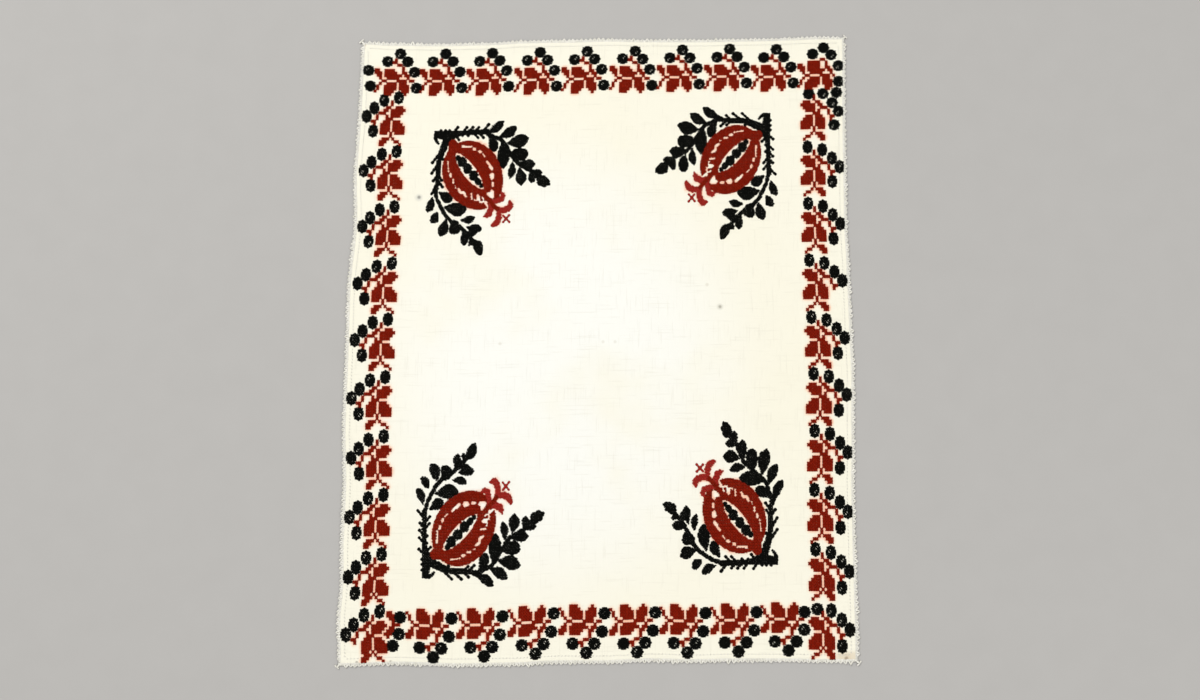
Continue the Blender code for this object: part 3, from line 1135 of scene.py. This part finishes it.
def linen_finish():
    material, bench, shader = new_finish("linen")
    uv = bench.add("ShaderNodeUVMap", {"uv_map": "UVMap"})
    s = bench.add("ShaderNodeSeparateXYZ", {}, {0: uv})
    t = Quantity(bench, s.socket.node.outputs[1])
    place = bench.add("ShaderNodeTexCoord", {}, {}, "Object")
    woven = weave(bench, s, t)
    upright = slubs(bench, s, t, 1100.0, 42.0)
    level = slubs(bench, s, t, 36.0, 950.0)
    parts = bench.add("ShaderNodeSeparateXYZ", {}, {0: place})
    upwards = Quantity(bench, parts.socket.node.outputs[1])
    away = (parts + 0.03) * (parts + 0.03) * 1.6 + (upwards + 0.02) * (upwards + 0.02)
    color = bench.mix(away.between(0.002, 0.045), MIDDLE_COLOR, OUTER_COLOR)
    broad = bench.add("ShaderNodeTexNoise", {}, {"Vector": place, "Scale": 9.0, "Detail": 3.0, "Roughness": 0.55})
    color = bench.mix(broad.between(0.46, 0.72) * 0.6, color, PATCH_COLOR)
    thick = upright.between(0.60, 0.74) + level.between(0.60, 0.74)
    color = bench.mix(thick * 0.22, color, (0.74, 0.71, 0.60))
    # Painted shade: the colour darkens in the hollows between the woven threads, most where the weave is lowest.
    color = bench.mix(0.16 - woven * 0.13, color, (0.55, 0.51, 0.41))
    for stain in STAINS:
        color = bench.mix(stain_mask(bench, place, stain), color, stain[4])
    red_stops = ((0.0, (1, 1, 1)), (0.14, (1.0, 0.90, 0.86)), (0.45, (1.0, 0.60, 0.50)))
    red = bench.add("ShaderNodeValToRGB", {"stops": red_stops}, {0: carried(bench, "red_tint")})
    bench.plug(shader.inputs["Base Color"], bench.mix(1.0, color, red, "MULTIPLY"))
    shader.inputs["Roughness"].default_value = 0.88
    shader.inputs["Sheen Weight"].default_value = 0.05
    shader.inputs["Specular IOR Level"].default_value = 0.12
    bump(bench, shader, woven * 0.8 + thick * 0.5, 0.00014)
    return material


linen = linen_finish()
linen_mesh.materials.append(linen)
print("nodes in the linen finish:", len(linen.node_tree.nodes))

# %% [markdown]
# ## The embroidery
#
# Each list of legs becomes an object of points, and the tree turns that into one piece. Legs lie on the cloth's
# own surface, so a long wave in the linen carries the stitches with it.

# %% Turn the legs into pieces
LEG_HEIGHT_MM = 0.52


def leg_points(name, rows):
    rows = np.array(rows)
    start, end = on_cloth(rows[:, 0], rows[:, 1]), on_cloth(rows[:, 2], rows[:, 3])
    run = end - start
    s, t = (rows[:, 0] + rows[:, 2]) / 2, (rows[:, 1] + rows[:, 3]) / 2
    z = top_height(s, t) + 0.06 * MM
    lengths = np.linalg.norm(run, axis=1)
    sizes = np.stack((lengths, rows[:, 5] * LEG_WIDTH_MM * MM, np.full(len(rows), LEG_HEIGHT_MM * MM)), -1)
    places = np.concatenate(((start + end) / 2, z[:, None]), 1)
    return cloud(name, places, np.arctan2(run[:, 1], run[:, 0]), sizes, rows[:, 4] > 0.5, rows[:, 6])


embroidery = {}
for seed, (name, rows) in enumerate(legs.items(), 5):
    finish = red_thread if "red" in name else black_thread
    embroidery[name] = copies(
        name,
        leg_points(name + "_points", rows),
        Shape_below=under_leg,
        Shape_above=over_leg,
        Turn_unevenness=0.05,
        Size_unevenness=0.09,
        Seed=seed,
        Finish=finish,
    )
print("faces in the embroidery:", {name: len(made.data.polygons) for name, made in embroidery.items()})

# %% [markdown]
# ## The hem stitches
#
# The hem is folded to the back and sewn down. From the front only a row of small slanting stitches shows, in the
# cloth's own colour. The same tree makes them, from points along four lines inside the edge.

# %% Sew the hem
HEM_INSET_MM = 3.3
HEM_STEP_MM = 2.6


def hem_rows():
    """Short slanting stitches along the four sides, as places, turns and sizes."""
    places, turns = [], []
    inset = HEM_INSET_MM
    across = np.arange(inset + 2.0, CLOTH_WIDTH_MM - inset - 1.0, HEM_STEP_MM)
    up = np.arange(inset + 2.0, CLOTH_HEIGHT_MM - inset - 1.0, HEM_STEP_MM)
    for s, t, slant in (
        (across, np.full(len(across), inset), 0.5),
        (across, np.full(len(across), CLOTH_HEIGHT_MM - inset), 0.5 + math.pi),
        (np.full(len(up), inset), up, 0.5 - math.pi / 2),
        (np.full(len(up), CLOTH_WIDTH_MM - inset), up, 0.5 + math.pi / 2),
    ):
        spots = on_cloth(s, t)
        places.append(np.concatenate((spots, top_height(s, t)[:, None]), 1))
        turns.append(np.full(len(s), slant))
    return np.concatenate(places), np.concatenate(turns)


hem_places, hem_turns = hem_rows()
hem_sizes = np.tile((1.5 * MM, 0.55 * MM, 0.22 * MM), (len(hem_places), 1))
hem_zeros = np.zeros(len(hem_places))
hem_stitches = copies(
    "hem_stitches",
    cloud("hem_points", hem_places, hem_turns, hem_sizes, hem_zeros, hem_zeros),
    Shape_below=under_leg,
    Shape_above=over_leg,
    Turn_unevenness=0.25,
    Size_unevenness=0.15,
    Seed=23,
    Finish=edging_thread,
)
print("hem stitches:", len(hem_places))

# %% [markdown]
# ## The picot edging
#
# Crochet thread is worked over the hem's edge in close stitches, and every third or fourth stitch throws out a
# pointed picot. The solids already have the picots at their right places and heights, so their tips are read from
# them, and each tip gets a pointed loop of thread. Root stitches fill the rim between the picots and the hem.

# %% Shapes of the edging
picot_loop = thread_shape(
    "picot_loop",
    (
        (-0.34, -0.14, -0.1, 0.17, 0.42), (-0.27, 0.12, 0.0, 0.23, 0.50), (-0.16, 0.44, 0.05, 0.17, 0.50),
        (-0.08, 0.72, 0.05, 0.11, 0.46), (0.0, 0.88, 0.0, 0.12, 0.44), (0.08, 0.72, 0.05, 0.11, 0.46),
        (0.16, 0.44, 0.05, 0.17, 0.50), (0.27, 0.12, 0.0, 0.23, 0.50), (0.34, -0.14, -0.1, 0.17, 0.42),
    ),
)
root_stitch = thread_shape(
    "root_stitch",
    ((-0.5, 0, 0.50, 0.30, 0.30), (-0.28, 0, 0.72, 0.50, 0.40), (0.15, 0, 0.20, 0.54, 0.50), (0.5, 0, -0.10, 0.44, 0.40)),
)
print("faces in a picot:", len(picot_loop.data.polygons))


# %% Read the picots of one side from its solid
def outward_frame(side):
    """A side of the cloth as an origin, its direction with the outside on the left, and the way outwards."""
    points = SIDES[side]
    start, end = points[0], points[-1]
    direction = (end - start) / np.linalg.norm(end - start)
    outwards = np.array((-direction[1], direction[0])) if side in ("top", "left") else np.array((direction[1], -direction[0]))
    return start, direction, outwards


def edge_at(side, along):
    """How far the bowed edge of the cloth lies outwards of its straight line, at distances along it."""
    start, direction, outwards = outward_frame(side)
    away = SIDES[side] - start
    return np.interp(along, away @ direction, away @ outwards)


def read_picots(side):
    """For each picot of a side: where it stands along the side and its tip's distance outwards, then where the valleys
    of the edging lie along the side.
    """
    start, direction, outwards = outward_frame(side)
    away = underside_points(f"picot_edging_{side}") - start
    along, out = away @ direction, away @ outwards
    out = out - edge_at(side, along)
    tips = np.sort(along[out > 2.1 * MM])
    order = np.argsort(along[out > 2.1 * MM])
    reach = out[out > 2.1 * MM][order]
    valleys = np.sort(along[(out > 1.2 * MM) & (out < 1.8 * MM)])
    return tips.reshape(-1, 2).mean(1), reach.reshape(-1, 2).mean(1), valleys


for side in SIDES:
    middles, reach, valleys = read_picots(side)
    print(side, "picots:", len(middles), "reach", (reach.min() / MM).round(1), "to", (reach.max() / MM).round(1), "mm")

# %% Work the edging, one piece for each side
ROOT_STEP_MM = 1.15
PICOT_FOOT_MM = 1.25
THREAD_MIDDLE_MM = 0.62


def edging_points(side):
    """Points for the picots, and above them in the list the root stitches, of one side."""
    start, direction, outwards = outward_frame(side)
    middles, reach, _valleys = read_picots(side)
    pitch = float(np.median(np.diff(middles)))
    facing = math.atan2(outwards[1], outwards[0]) - math.pi / 2
    foot = PICOT_FOOT_MM * MM
    picot_places = start + direction * middles[:, None] + outwards * (edge_at(side, middles) + foot)[:, None]
    picot_sizes = np.stack((np.full(len(middles), pitch * 1.02), reach - foot, np.full(len(middles), 0.85 * MM)), -1)
    length = np.linalg.norm(SIDES[side][-1] - SIDES[side][0])
    roots = np.arange(-0.9 * MM, length + 0.9 * MM, ROOT_STEP_MM * MM)
    root_places = start + direction * roots[:, None] + outwards * (edge_at(side, roots) + 0.45 * MM)[:, None]
    root_sizes = np.tile((2.6 * MM, 1.2 * MM, 0.95 * MM), (len(roots), 1))
    places = np.concatenate((picot_places, root_places))
    places = np.concatenate((places, np.full((len(places), 1), THREAD_MIDDLE_MM * MM)), 1)
    turns = np.concatenate((np.full(len(middles), facing), np.full(len(roots), facing + math.pi / 2 - 0.25)))
    above = np.concatenate((np.zeros(len(middles)), np.ones(len(roots))))
    return cloud(f"edging_points_{side}", places, turns, np.concatenate((picot_sizes, root_sizes)), above, above * 0)


edgings = {}
for seed, side in enumerate(SIDES, 31):
    edgings[side] = copies(
        f"picots_{side}",
        edging_points(side),
        Shape_below=picot_loop,
        Shape_above=root_stitch,
        Turn_unevenness=0.14,
        Size_unevenness=0.12,
        Seed=seed,
        Finish=edging_thread,
    )
for help_shape in (under_leg, over_leg, picot_loop, root_stitch):
    forget(help_shape)
print("faces in the edging:", {side: len(made.data.polygons) for side, made in edgings.items()})

# %% [markdown]
# ## Floor and light
#
# A plain pale floor lets the off-white cloth stand out. One large soft light from the upper left gives the
# stitches a little relief, a second from the right fills, and a light surround keeps the shadows open.

# %% Floor
floor_mesh = bpy.data.meshes.new("floor")
floor_mesh.from_pydata([(-3, -3, -0.0003), (3, -3, -0.0003), (3, 3, -0.0003), (-3, 3, -0.0003)], [], [(0, 1, 2, 3)])
floor = bpy.data.objects.new("floor", floor_mesh)
bpy.context.scene.collection.objects.link(floor)
floor_finish, floor_bench, floor_shader = new_finish("floor_paper")
floor_place = floor_bench.add("ShaderNodeTexCoord", {}, {}, "Object")
grain = floor_bench.add("ShaderNodeTexNoise", {}, {"Vector": floor_place, "Scale": 40.0, "Detail": 2.0})
floor_bench.plug(floor_shader.inputs["Base Color"], floor_bench.mix(grain, (0.41, 0.40, 0.385), (0.43, 0.42, 0.405)))
floor_shader.inputs["Roughness"].default_value = 0.9
floor_mesh.materials.append(floor_finish)
floor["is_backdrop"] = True
print("floor laid")


# %% Lights
def area_light(name, place, size, power):
    data = bpy.data.lights.new(name, "AREA")
    data.shape = "DISK"
    data.size = size
    data.energy = power
    light = bpy.data.objects.new(name, data)
    light.location = place
    light.rotation_euler = (-Vector(place)).to_track_quat("-Z", "Y").to_euler()
    bpy.context.scene.collection.objects.link(light)
    return light


area_light("key_light", (-1.5, 1.3, 2.4), 1.0, 50.0)
area_light("fill_light", (1.7, -1.0, 2.4), 1.8, 34.0)
world = bpy.data.worlds.new("studio")
world.use_nodes = True
world.node_tree.nodes["Background"].inputs["Color"].default_value = (1.0, 0.99, 0.97, 1.0)
world.node_tree.nodes["Background"].inputs["Strength"].default_value = 0.555
bpy.context.scene.world = world
bpy.context.scene.view_settings.view_transform = "Standard"
print("lights:", 2)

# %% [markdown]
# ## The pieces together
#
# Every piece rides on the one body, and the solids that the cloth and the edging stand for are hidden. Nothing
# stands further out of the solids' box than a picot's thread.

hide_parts("linen_ground")
for side, made in edgings.items():
    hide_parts(f"picot_edging_{side}")
for name, made in embroidery.items():
    "red_thread" if "red" in name else "black_thread"
pieces = [linen_cloth, hem_stitches, *edgings.values(), *embroidery.values()]
for piece in pieces:
    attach(piece, "root")
triangles = {piece.name: sum(len(face.vertices) - 2 for face in piece.data.polygons) for piece in pieces}
print("triangles:", sum(triangles.values()), triangles)

# %% Sizes
SHOWN_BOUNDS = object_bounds()
sizes = {"cad": CAD_BOUNDS, "visual": SHOWN_BOUNDS}
{name: [[float(part) for part in corner] for corner in box] for name, box in sizes.items()}
print("solids' box:", CAD_BOUNDS)
print("pieces' box:", SHOWN_BOUNDS)
